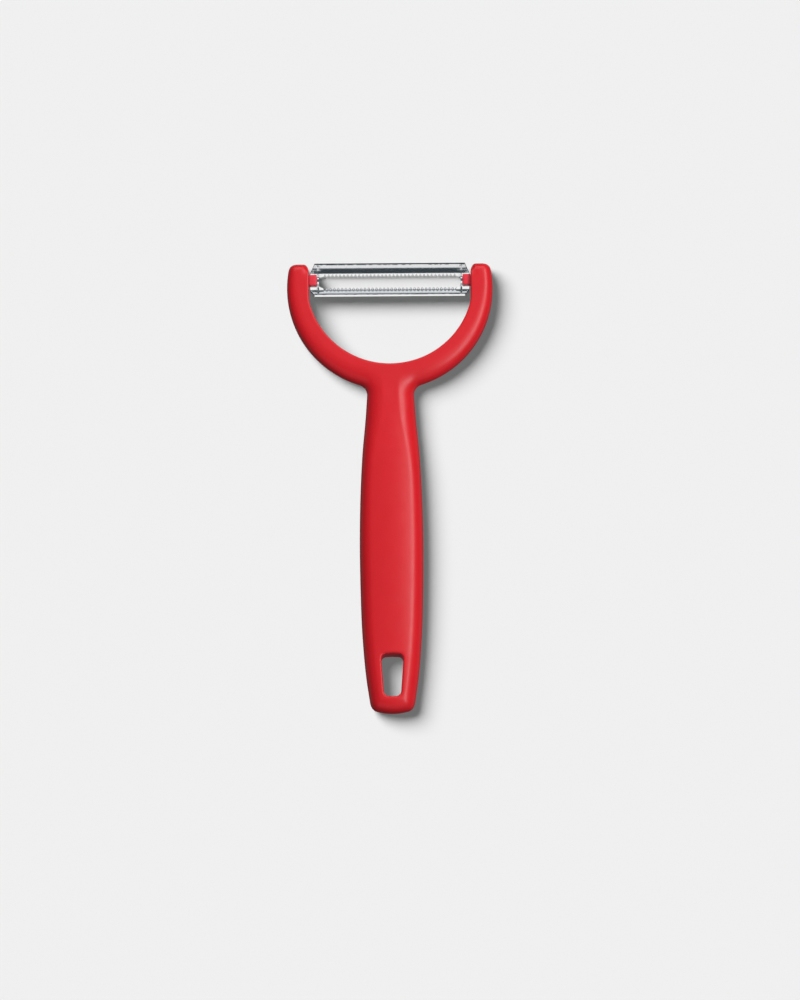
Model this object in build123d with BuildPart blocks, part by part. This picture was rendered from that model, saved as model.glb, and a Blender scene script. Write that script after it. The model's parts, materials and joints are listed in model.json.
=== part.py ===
from build123d import *
from math import acos, asin, cos, degrees, radians, sin, sqrt, tan
import os

# Vegetable peeler, lying on its back. X runs across the fork, Y along the
# handle towards the blade and Z up. The origin is the middle of the box that
# the peeler fits, at the height of the table. All sizes are millimetres.

# Blade: one stamped strip with a narrow web, two sloping lips that carry the
# teeth and two steeper wings. Each reach is from the swivel axis to the middle
# of the sheet, and end_web is what is left beyond the slot.
blade_length = 54.4
sheet = 0.6
web_reach = 1.5
knee_reach = 3.15
wing_reach = 5.52
lip_angle = 24.0
wing_angle = 59.9
bend_radius = 1.2
end_slant = 1.6
end_web = 3.1
slot_width = 3.86
slot_corner = 1.3
tooth_pitch = 1.3
tooth_depth = 0.94
tooth_flat = 0.15

# Pivot studs: square head, round trunnion and a square tenon in the arm
stud_width = 3.65
stud_depth = 4.2
stud_chamfer = 0.2
trunnion_radius = 1.1
tenon_width = 2.2
tenon_depth = 3.2
tenon_length = 3.6

# Clearances
end_play = 0.3
ear_play = 0.12
running_clearance = 0.06
stop_clearance = 0.05
socket_clearance = 0.25
swivel_limit = 22.0

# Fork of the handle
arm_width = 7.5
tip_reach = 5.46
tip_margin = 0.3
pad_rise = 0.7
pad_blend = 12.0
inner_drop = 1.09
outer_drop = 2.69
fork_thickness = 8.2

# Neck and grip of the handle, distances taken from the swivel axis
neck_half_width = 7.95
neck_blend = 3.7
palm_half_width = 10.8
palm_distance = 92.49
end_half_width = 7.3
end_crown = 1.5
end_corner = 3.8
handle_end = 149.34
grip_thickness = 9.6
end_thickness = 8.4
end_slope = 0.03
shoulder_radius = 2.4
inner_edge_radius = 0.6

# Widths between neck and palm, then palm and end, as shares of the way along
# and of the change in width
neck_to_palm_shares = ((0.17, 0.23), (0.38, 0.60), (0.66, 0.88))
palm_to_end_shares = ((0.40, 0.10), (0.60, 0.26), (0.80, 0.54))

# Hanging slot in the end of the grip
hang_top_width = 7.7
hang_bottom_width = 5.6
hang_length = 14.6
hang_web = 5.4
hang_corner = 1.8
hang_edge_radius = 0.5

# One overrun for every cut
overrun = 5.0

# Places worked out from the sizes above
slot_length = blade_length - 2 * end_web
notch_count = int((slot_length - 2 * slot_corner) / tooth_pitch)
half_gap = blade_length / 2 + end_play
outer_radius = half_gap + arm_width
inner_radius = half_gap + pad_rise
tip_corner = shoulder_radius + tip_margin
axis_height = fork_thickness / 2
blade_reach = wing_reach + sheet / 2 * sin(radians(wing_angle))
pivot_y = (handle_end - max(tip_reach, blade_reach)) / 2
web_drop = (
    stud_depth / 2 * cos(radians(swivel_limit))
    + stud_width / 2 * sin(radians(swivel_limit))
    + stop_clearance
)
web_centre = -web_drop - sheet / 2
knee_height = web_centre + (knee_reach - web_reach) * tan(radians(lip_angle))
wing_rise = knee_height + (wing_reach - knee_reach) * tan(radians(wing_angle))
ear_face = slot_length / 2 + sheet
head_face = ear_face + ear_play

table_plane = Plane((0, pivot_y, 0))
axis_plane = Plane((0, pivot_y, axis_height))
across_plane = Plane((0, pivot_y, axis_height), x_dir=(0, 1, 0), z_dir=(1, 0, 0))
profile_plane = Plane((0, pivot_y, 0), x_dir=(0, 1, 0), z_dir=(1, 0, 0))
front_plane = Plane((0, pivot_y, axis_height), x_dir=(1, 0, 0), z_dir=(0, -1, 0))


def grip_point(start, end, shares):
    """Point part of the way between two places on the grip's side."""
    along_share, width_share = shares
    x = start[0] + (end[0] - start[0]) * width_share
    y = start[1] + (end[1] - start[1]) * along_share
    return (x, y)


def on_inner_wall(edge):
    """True for an edge that runs along the wall facing the blade."""
    middle = edge @ 0.5
    reach = sqrt(middle.X**2 + (middle.Y - pivot_y + inner_drop) ** 2)
    return reach < inner_radius + pad_rise


def on_level_rim(edge):
    """True for an edge along the rim of the handle's front or back."""
    middle = edge @ 0.5
    return middle.Z < inner_edge_radius or middle.Z > fork_thickness - inner_edge_radius


def on_hang_rim(edge):
    """True for an edge along either rim of the hanging slot."""
    middle = edge @ 0.5
    in_slot = hang_bottom - shoulder_radius < middle.Y - pivot_y < hang_top + shoulder_radius
    return in_slot and abs(middle.X) < hang_top_width / 2 + inner_edge_radius


os.makedirs("parts", exist_ok=True)

# Handle: the outline of fork, neck and grip, drawn as its right half
crotch_angle = degrees(acos(neck_half_width / outer_radius))
crotch = (neck_half_width, -outer_drop - sqrt(outer_radius**2 - neck_half_width**2))
tip_angle = degrees(asin((tip_reach + outer_drop) / outer_radius))
tip_outer = (sqrt(outer_radius**2 - (tip_reach + outer_drop) ** 2), tip_reach)
tip_inner = (half_gap, tip_reach)
pad_angle = degrees(acos(half_gap / inner_radius))
pad_end = (half_gap, -inner_drop - sqrt(inner_radius**2 - half_gap**2))
palm = (palm_half_width, -palm_distance)
grip_corner = (end_half_width, -handle_end + end_crown)
grip_end = (0, -handle_end)
throat_bottom = (0, -inner_drop - inner_radius)
crown_start = outer_drop + outer_radius
hang_bottom = -handle_end + hang_web
hang_top = hang_bottom + hang_length

with BuildPart() as handle:
    with BuildSketch(table_plane) as outline:
        with BuildLine():
            CenterArc((0, -inner_drop), inner_radius, -90, 90 - pad_angle)
            Line(pad_end, tip_inner)
            Line(tip_inner, tip_outer)
            CenterArc((0, -outer_drop), outer_radius, -crotch_angle, crotch_angle + tip_angle)
            Spline(
                crotch,
                *[grip_point(crotch, palm, shares) for shares in neck_to_palm_shares],
                palm,
                *[grip_point(palm, grip_corner, shares) for shares in palm_to_end_shares],
                grip_corner,
            )
            TangentArc(grip_end, grip_corner, tangent=(1, 0))
            Line(grip_end, throat_bottom)
        make_face()
        fillet(outline.vertices().sort_by_distance(tip_outer)[0], radius=tip_corner)
        fillet(outline.vertices().sort_by_distance(pad_end)[0], radius=pad_blend)
        fillet(outline.vertices().sort_by_distance(crotch)[0], radius=neck_blend)
        fillet(outline.vertices().sort_by_distance(grip_corner)[0], radius=end_corner)
        mirror(about=Plane.YZ)
    extrude(amount=grip_thickness)

    # Thickness along the length: a flat back, a flat fork and a crowned grip
    with BuildSketch(profile_plane):
        with BuildLine():
            Line((tip_reach + overrun, 0), (tip_reach + overrun, fork_thickness))
            Line((tip_reach + overrun, fork_thickness), (-crown_start, fork_thickness))
            Spline(
                (-crown_start, fork_thickness),
                (-palm_distance, grip_thickness),
                (-handle_end, end_thickness),
                tangents=((-1, 0), (-1, -end_slope)),
            )
            Polyline((-handle_end, end_thickness), (-handle_end, 0), (tip_reach + overrun, 0))
        make_face()
    extrude(amount=outer_radius, both=True, mode=Mode.INTERSECT)

    # Soft outer shoulders, then the crisper edge of the wall facing the blade
    rims = handle.edges().filter_by(on_level_rim)
    fillet(rims.filter_by(on_inner_wall, reverse=True), radius=shoulder_radius)
    inner_rims = handle.edges().filter_by(on_level_rim).filter_by(on_inner_wall)
    fillet(inner_rims, radius=inner_edge_radius)

    # Hanging slot, wider at its upper end, with rounded rims
    with BuildSketch(table_plane) as hang_outline:
        with BuildLine():
            Polyline(
                (hang_top_width / 2, hang_top),
                (hang_bottom_width / 2, hang_bottom),
                (-hang_bottom_width / 2, hang_bottom),
                (-hang_top_width / 2, hang_top),
                close=True,
            )
        make_face()
        fillet(hang_outline.vertices(), radius=hang_corner)
    extrude(amount=grip_thickness, mode=Mode.SUBTRACT)
    fillet(handle.edges().filter_by(on_hang_rim), radius=hang_edge_radius)

    # Square sockets for the studs' tenons, one in each arm
    with Locations(axis_plane):
        Box(
            2 * (half_gap + tenon_length + socket_clearance),
            tenon_width,
            tenon_depth,
            mode=Mode.SUBTRACT,
        )

handle.part.label = "handle"
export_step(handle.part, "parts/handle.step")

# Pivot studs: each head seats on its arm, and its trunnion carries an ear
for side, stud_name in ((-1, "left_pivot_stud"), (1, "right_pivot_stud")):
    with BuildPart() as stud:
        with BuildSketch(across_plane.offset(head_face)):
            Rectangle(stud_width, stud_depth)
        extrude(amount=half_gap - head_face)
        chamfer(stud.faces().sort_by(Axis.X)[0].edges(), length=stud_chamfer)
        with BuildSketch(across_plane.offset(half_gap)):
            Rectangle(tenon_width, tenon_depth)
        extrude(amount=tenon_length)
        with BuildSketch(across_plane.offset(head_face)):
            Circle(trunnion_radius)
        extrude(amount=head_face - slot_length / 2, dir=(-1, 0, 0))
        if side < 0:
            mirror(about=Plane.YZ, mode=Mode.REPLACE)

    stud.part.label = stud_name
    export_step(stud.part, "parts/" + stud_name + ".step")

# Blade: the bent strip, its toothed slot, its slanted ends and its two ears
with BuildPart() as blade:
    with BuildSketch(across_plane):
        with BuildLine() as section:
            FilletPolyline(
                (-wing_reach, wing_rise),
                (-knee_reach, knee_height),
                (-web_reach, web_centre),
                (web_reach, web_centre),
                (knee_reach, knee_height),
                (wing_reach, wing_rise),
                radius=bend_radius,
            )
        trace(section.line, line_width=sheet)
    extrude(amount=blade_length / 2, both=True)

    # The wings are shorter at their tips than at the bend
    slant = end_slant / (wing_rise + web_drop)
    with BuildSketch(front_plane):
        with BuildLine():
            Polyline(
                (blade_length / 2, -web_drop),
                (blade_length / 2 - slant * (wing_rise + overrun + web_drop), wing_rise + overrun),
                (blade_length / 2 + overrun, wing_rise + overrun),
                (blade_length / 2 + overrun, -web_drop),
                close=True,
            )
        make_face()
        mirror(about=Plane.YZ)
    extrude(amount=wing_reach + overrun, both=True, mode=Mode.SUBTRACT)

    # Slot with a row of notches along each edge, which leaves the teeth
    notch_half = (tooth_pitch - tooth_flat) / 2
    with BuildSketch(axis_plane):
        RectangleRounded(slot_length, slot_width, slot_corner)
        with GridLocations(tooth_pitch, 0, notch_count, 1):
            Polygon(
                (-notch_half, 0),
                (notch_half, 0),
                (notch_half, slot_width / 2),
                (0, slot_width / 2 + tooth_depth),
                (-notch_half, slot_width / 2),
                align=None,
            )
        mirror(about=Plane.XZ)
    extrude(amount=-web_drop - sheet - overrun, mode=Mode.SUBTRACT)

    # Ears bent up from the slot's ends, each as wide as a stud's head and with a
    # hole for its trunnion
    with BuildSketch(across_plane.offset(slot_length / 2)):
        Circle(stud_width / 2)
        with Locations((0, web_centre / 2)):
            Rectangle(stud_width, -web_centre)
        Circle(trunnion_radius + running_clearance, mode=Mode.SUBTRACT)
    ear = extrude(amount=sheet)
    mirror(ear, about=Plane.YZ)

blade.part.label = "blade"
export_step(blade.part, "parts/blade.step")
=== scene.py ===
import json
from math import acos, atan2, cos, pi, radians, sin, sqrt, tan

import bmesh
import bpy
import numpy as np
from bpy.props import FloatProperty, FloatVectorProperty, PointerProperty
from mathutils import Matrix, Vector


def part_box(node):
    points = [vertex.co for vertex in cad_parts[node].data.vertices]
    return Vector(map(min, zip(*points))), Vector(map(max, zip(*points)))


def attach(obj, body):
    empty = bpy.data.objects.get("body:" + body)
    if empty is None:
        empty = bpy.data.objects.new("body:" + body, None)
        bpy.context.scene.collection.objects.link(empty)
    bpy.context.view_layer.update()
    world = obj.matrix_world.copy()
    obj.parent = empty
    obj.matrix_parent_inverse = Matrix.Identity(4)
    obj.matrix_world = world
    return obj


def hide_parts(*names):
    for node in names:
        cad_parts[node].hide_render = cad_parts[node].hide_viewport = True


bl_info = {
    "name": "Vegetable Peeler",
    "version": (1, 0, 0),
    "blender": (4, 5, 0),
    "location": "View3D > Sidebar > Peeler",
    "description": "Builds a Y-shaped vegetable peeler with a swivelling toothed blade",
    "category": "Object",
}

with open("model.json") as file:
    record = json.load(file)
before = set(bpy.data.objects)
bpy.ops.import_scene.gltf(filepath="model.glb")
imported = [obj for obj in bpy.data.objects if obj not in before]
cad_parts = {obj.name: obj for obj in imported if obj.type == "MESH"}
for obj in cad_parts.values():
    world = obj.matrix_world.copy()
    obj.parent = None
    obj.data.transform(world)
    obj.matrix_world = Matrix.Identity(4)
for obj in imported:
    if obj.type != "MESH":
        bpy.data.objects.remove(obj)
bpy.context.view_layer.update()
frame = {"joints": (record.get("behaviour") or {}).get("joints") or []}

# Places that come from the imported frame, in metres
SWIVEL = Vector(frame["joints"][0]["pos_m"])
HANDLE_LOW, HANDLE_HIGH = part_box("handle")
BLADE_LOW, BLADE_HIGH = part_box("blade")
STUD_LOW, STUD_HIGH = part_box("right_pivot_stud")
HANDLE_END = SWIVEL.y - HANDLE_LOW.y
TIP_REACH = HANDLE_HIGH.y - SWIVEL.y

# Vertex rings across a rounded edge, as shares of the quarter turn
EDGE_TURN_SHARES = (0.0, 0.2, 0.4, 0.6, 0.8, 1.0)
CRISP_TURN_SHARES = (0.0, 0.34, 0.67, 1.0)


def length(name, description, default):
    """A length that a user can change, in metres."""
    return FloatProperty(name=name, description=description, default=default, unit="LENGTH")


def user_angle(name, description, degrees):
    """An angle that a user can change, written in degrees."""
    return FloatProperty(name=name, description=description, default=radians(degrees), subtype="ANGLE")


def colour(name, description, default):
    """A linear colour that a user can change."""
    return FloatVectorProperty(name=name, description=description, default=default, subtype="COLOR")


def plan(x, y):
    """A point of the outline, seen from above and measured from the swivel axis."""
    return Vector((x, y))


def arc(centre, radius, start, end, steps):
    """Points along an arc, with its angles in degrees."""
    angles = [radians(start + (end - start) * n / steps) for n in range(steps + 1)]
    return [centre + radius * plan(cos(a), sin(a)) for a in angles]


def rounded_corner(before, corner, after, radius, steps):
    """Points of the arc that rounds the corner between two straight runs."""
    to_before = (before - corner).normalized()
    to_after = (after - corner).normalized()
    half = acos(max(-1.0, min(1.0, to_before.dot(to_after)))) / 2
    centre = corner + (to_before + to_after).normalized() * radius / sin(half)
    first = corner + to_before * radius / tan(half) - centre
    last = corner + to_after * radius / tan(half) - centre
    turn = atan2(first.x * last.y - first.y * last.x, first.dot(last))
    return [centre + Matrix.Rotation(turn * n / steps, 2) @ first for n in range(steps + 1)]


def along(points, share):
    """The point at a share of the way along a row of points."""
    lengths = [(b - a).length for a, b in zip(points, points[1:])]
    left = share * sum(lengths)
    for a, b, length in zip(points, points[1:], lengths):
        if left <= length:
            return a.lerp(b, left / length) if length else a.copy()
        left -= length
    return points[-1].copy()


def stretch(points, start, end, steps=24):
    """The part of a row of points between two shares of its length."""
    return [along(points, start + (end - start) * n / steps) for n in range(steps + 1)]


def even(start, end, count):
    """Shares from start up to but not including end."""
    return [start + (end - start) * n / count for n in range(count)]


def smooth_value(stations, at):
    """A smooth value through stations of (place, value), in rising order of place."""
    places = [s[0] for s in stations]
    values = [s[1] for s in stations]
    if at <= places[0]:
        return values[0]
    if at >= places[-1]:
        return values[-1]
    slopes = []
    for n in range(len(stations)):
        low, high = max(n - 1, 0), min(n + 1, len(stations) - 1)
        slopes.append((values[high] - values[low]) / (places[high] - places[low]))
    n = max(k for k in range(len(places) - 1) if places[k] <= at)
    span = places[n + 1] - places[n]
    t = (at - places[n]) / span
    return (
        values[n] * (1 + 2 * t) * (1 - t) ** 2
        + span * slopes[n] * t * (1 - t) ** 2
        + values[n + 1] * t * t * (3 - 2 * t)
        + span * slopes[n + 1] * t * t * (t - 1)
    )


def grid_of_rows(rows):
    """A sheet of four-sided faces whose vertices lie on rows of plan points."""
    bm = bmesh.new()
    bmesh.ops.create_grid(bm, x_segments=len(rows[0]) - 1, y_segments=len(rows) - 1, size=1.0)
    bm.verts.ensure_lookup_table()
    for r, row in enumerate(rows):
        for c, point in enumerate(row):
            bm.verts[r * len(row) + c].co = Vector((point.x, point.y, 0.0))
    return bm


def mirrored(bm, axis, weld):
    """Adds the mirror image across the plane through the swivel axis and welds it on."""
    image = bmesh.ops.duplicate(bm, geom=bm.verts[:] + bm.edges[:] + bm.faces[:])["geom"]
    flip = Vector((-1, 1, 1)) if axis == "X" else Vector((1, -1, 1))
    verts = [g for g in image if isinstance(g, bmesh.types.BMVert)]
    bmesh.ops.scale(bm, vec=flip, verts=verts)
    bmesh.ops.reverse_faces(bm, faces=[g for g in image if isinstance(g, bmesh.types.BMFace)])
    bmesh.ops.remove_doubles(bm, verts=bm.verts, dist=weld)


def bevel_edges(bm, edges, offset, segments):
    """Rounds edges of a bmesh."""
    bmesh.ops.bevel(
        bm,
        geom=edges,
        offset=offset,
        offset_type="OFFSET",
        segments=segments,
        profile=0.5,
        affect="EDGES",
        clamp_overlap=True,
        material=-1,
    )


def finish_piece(name, bm, body, replaced, material, sharp=None):
    """Makes a mesh object of a bmesh, in its place, and ties it to the frame."""
    bmesh.ops.recalc_face_normals(bm, faces=bm.faces)
    mesh = bpy.data.meshes.new(name)
    bm.to_mesh(mesh)
    bm.free()
    mesh.shade_smooth()
    if sharp is not None:
        mesh.set_sharp_from_angle(angle=sharp)
    mesh.materials.append(material)
    piece = bpy.data.objects.new(name, mesh)
    bpy.context.scene.collection.objects.link(piece)
    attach(piece, body)
    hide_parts(*replaced)
    # The plastic neither reflects in the steel nor colours what lies beside it
    if body == "handle":
        piece.visible_diffuse = False
        piece.visible_glossy = False
    return piece


# Handle


class PeelerHandle(bpy.types.PropertyGroup):
    """Sizes and colour of the one-piece handle"""

    half_gap: length("Half gap", "From the middle to an arm's inner face", 0.0275)
    throat_radius: length("Throat radius", "Radius of the fork's inside", 0.0282)
    throat_drop: length("Throat drop", "Its centre, below the swivel axis", 0.00109)
    fork_drop: length("Fork drop", "Centre of the fork's outside, below the swivel axis", 0.00269)
    fork_thickness: length("Fork thickness", "From the table to the fork's face", 0.0082)
    grip_thickness: length("Grip thickness", "From the table to the grip's face", HANDLE_HIGH.z)
    end_thickness: length("End thickness", "From the table to the face at the handle's end", 0.0084)
    neck_half_width: length("Neck half width", "Half of the narrowest width", 0.00795)
    palm_half_width: length("Palm half width", "Half of the widest width", 0.0108)
    palm_distance: length("Palm distance", "From the swivel axis to the widest place", 0.09249)
    end_half_width: length("End half width", "Half of the width at the handle's end", 0.0073)
    crown: length("Crown", "How much lower the grip's face is at its sides", 0.0015)
    colour: colour("Colour", "Moulded red of the handle", (0.61, 0.010, 0.017))


# Corners and blends of the handle's outline
TIP_INNER_WIDTH = 0.0016
TIP_INNER_HEIGHT = 0.0034
TIP_OUTER_CORNER = 0.0028
PAD_BLEND = 0.012
NECK_BLEND = 0.0037
END_CORNER = 0.0038
END_CROWN = 0.0015
# How far in and how far down each edge is rounded
INNER_EDGE = 0.0005
TIP_EDGE = 0.0025
ARM_EDGE_REACH = 0.0027
CROTCH_EDGE_REACH = 0.0060
GRIP_EDGE_REACH = 0.0034
END_EDGE_REACH = 0.0042
CROTCH_EDGE_DEPTH = 0.0039
GRIP_EDGE_DEPTH = 0.0034
END_EDGE_DEPTH = 0.0036
BACK_SHARE = 0.82
# Hanging slot
HANG_TOP_WIDTH = 0.0077
HANG_BOTTOM_WIDTH = 0.0056
HANG_LENGTH = 0.0146
HANG_WEB = 0.0054
HANG_CORNER = 0.0018
HANG_EDGE = 0.0007
# Rows of the mesh: below the neck's blend, then above and below the ends of the slot
NECK_ROW = 0.0022
OVER_SLOT_ROW = 0.0006
SLOT_TOP_ROW = 0.0002
SLOT_UPPER_ROW = 0.0028
SLOT_LOWER_ROW = 0.0022
# How the rows crowd towards the tips and how far in they take up the rounded ends
TIP_CROWDING_SHARE = 1.25
END_FADE = 0.0055
# The most of a row's width that an edge's rounding may take
ROUNDED_SHARE = 0.62
# Distances below the swivel axis at which the edge's rounding is widest and the grip's begins
CROTCH_PLACE = 0.036
GRIP_PLACE = 0.060
# Distances below the swivel axis at which the face rises and its crown begins
RISE_START = 0.033
RISE_NEXT = 0.042
RISE = 0.0004
CROWN_START = 0.034
CROWN_FULL = 0.050
# The mould's parting line
PARTING_HEIGHT = 0.00375
PARTING_WIDTH = 0.00012
PARTING_RIDGE = 0.00004
# Widths of the grip, as shares of the way along and of the change in width
NECK_TO_PALM_SHARES = ((0.17, 0.23), (0.38, 0.60), (0.66, 0.88))
PALM_TO_END_SHARES = ((0.40, 0.10), (0.60, 0.26), (0.80, 0.54))
# Vertices nearer to each other than this are one
WELD = 0.00001


def handle_paths(s):
    """The stretches of the right half of the outline, by name."""
    fork_radius = HANDLE_HIGH.x
    outside = plan(0, -s.fork_drop)
    inside = plan(0, -s.throat_drop)
    tip_in = plan(s.half_gap + TIP_INNER_WIDTH, TIP_REACH - TIP_INNER_HEIGHT)
    tip_turn = arc(plan(0, 0), 1.0, 180, 90, 12)
    out_y = TIP_REACH - TIP_OUTER_CORNER
    out_x = sqrt((fork_radius - TIP_OUTER_CORNER) ** 2 - (out_y + s.fork_drop) ** 2)
    tip_out = plan(out_x, out_y)
    out_angle = atan2(out_y + s.fork_drop, out_x) * 180 / pi
    blend_x = s.neck_half_width + NECK_BLEND
    blend_y = -s.fork_drop - sqrt((fork_radius + NECK_BLEND) ** 2 - blend_x**2)
    blend = plan(blend_x, blend_y)
    blend_angle = atan2(blend_y + s.fork_drop, blend_x) * 180 / pi

    # The wall facing the blade, from the middle of the throat up to the tip
    pad = plan(s.half_gap, -s.throat_drop - sqrt(s.throat_radius**2 - s.half_gap**2))
    pad_angle = atan2(pad.y + s.throat_drop, pad.x) * 180 / pi
    slope = plan(pad.y + s.throat_drop, -pad.x).normalized()
    pad_corner = rounded_corner(pad + slope * PAD_BLEND, pad, plan(pad.x, 0), PAD_BLEND, 6)
    throat = arc(inside, s.throat_radius, -90, pad_angle - 3, 48)
    wall = throat + pad_corner + [plan(s.half_gap, tip_in.y)]

    # The grip's side, from the neck's blend to the corner at its end
    neck = plan(s.neck_half_width, blend_y)
    palm = plan(s.palm_half_width, -s.palm_distance)
    end = plan(s.end_half_width, -HANDLE_END + END_CROWN)
    stations = [(-neck.y, neck.x)]
    for at, width in NECK_TO_PALM_SHARES:
        stations.append((-neck.lerp(palm, at).y, neck.lerp(palm, width).x))
    stations.append((-palm.y, palm.x))
    for at, width in PALM_TO_END_SHARES:
        stations.append((-palm.lerp(end, at).y, palm.lerp(end, width).x))
    stations.append((-end.y, end.x))
    side = []
    for n in range(121):
        y = neck.y + (end.y - neck.y) * n / 120
        side.append(plan(smooth_value(stations, -y), y))

    end_radius = (end.x**2 + END_CROWN**2) / (2 * END_CROWN)
    end_turn = atan2(end.x, end_radius - END_CROWN)
    after = end - plan(cos(end_turn), sin(end_turn)) * END_CORNER
    end_corner = rounded_corner(side[-12], end, after, END_CORNER, 16)
    side = [p for p in side if p.y > end_corner[0].y] + [end_corner[0]]
    last = end_corner[-1]
    end_edge = []
    for n in range(13):
        x = last.x * (1 - n / 12)
        end_edge.append(plan(x, -HANDLE_END + end_radius - sqrt(end_radius**2 - x * x)))

    hang_bottom = -HANDLE_END + HANG_WEB
    hang_top = hang_bottom + HANG_LENGTH
    top_corner = plan(HANG_TOP_WIDTH / 2, hang_top)
    low_corner = plan(HANG_BOTTOM_WIDTH / 2, hang_bottom)
    slot = [plan(0, hang_top)]
    slot += rounded_corner(plan(0, hang_top), top_corner, low_corner, HANG_CORNER, 10)
    slot += rounded_corner(top_corner, low_corner, plan(0, hang_bottom), HANG_CORNER, 10)
    slot.append(plan(0, hang_bottom))
    return {
        "wall": wall,
        "tip_inner": [tip_in + p * plan(TIP_INNER_WIDTH, TIP_INNER_HEIGHT) for p in tip_turn],
        "tip_outer": arc(tip_out, TIP_OUTER_CORNER, 90, out_angle, 12),
        "outside": arc(outside, fork_radius, out_angle, blend_angle, 60),
        "blend": arc(blend, NECK_BLEND, blend_angle + 180, 180, 12),
        "side": side,
        "end_corner": end_corner,
        "end_edge": end_edge,
        "slot": slot,
    }


def rim(*parts):
    """A rim as an array of x, y, rounding reach and rounding depth, one row for each point."""
    rows = []
    for points, reach, depth in parts:
        for n, p in enumerate(points):
            t = n / (len(points) - 1)
            a = reach[0] + (reach[-1] - reach[0]) * t
            b = depth[0] + (depth[-1] - depth[0]) * t
            rows.append((p.x, p.y, a, b))
    return np.array(rows)


def drop_to_rim(points, rim_rows, share):
    """How much lower than the face each point lies, because of the rounding of one rim."""
    start, end = rim_rows[:-1, :2], rim_rows[1:, :2]
    run = end - start
    length = np.maximum((run**2).sum(1), 1e-18)
    best = np.full(len(points), np.inf)
    reach = np.zeros(len(points))
    depth = np.zeros(len(points))
    for n in range(len(run)):
        t = np.clip(((points - start[n]) @ run[n]) / length[n], 0, 1)
        away = np.hypot(*(points - start[n] - t[:, None] * run[n]).T)
        nearer = away < best
        best = np.where(nearer, away, best)
        both = rim_rows[n, 2:] + t[:, None] * (rim_rows[n + 1, 2:] - rim_rows[n, 2:])
        reach = np.where(nearer, both[:, 0], reach)
        depth = np.where(nearer, both[:, 1], depth)
    inward = np.clip(1 - best / (reach * share), 0, 1)
    return depth * share * (1 - np.sqrt(1 - inward**2))


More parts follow.
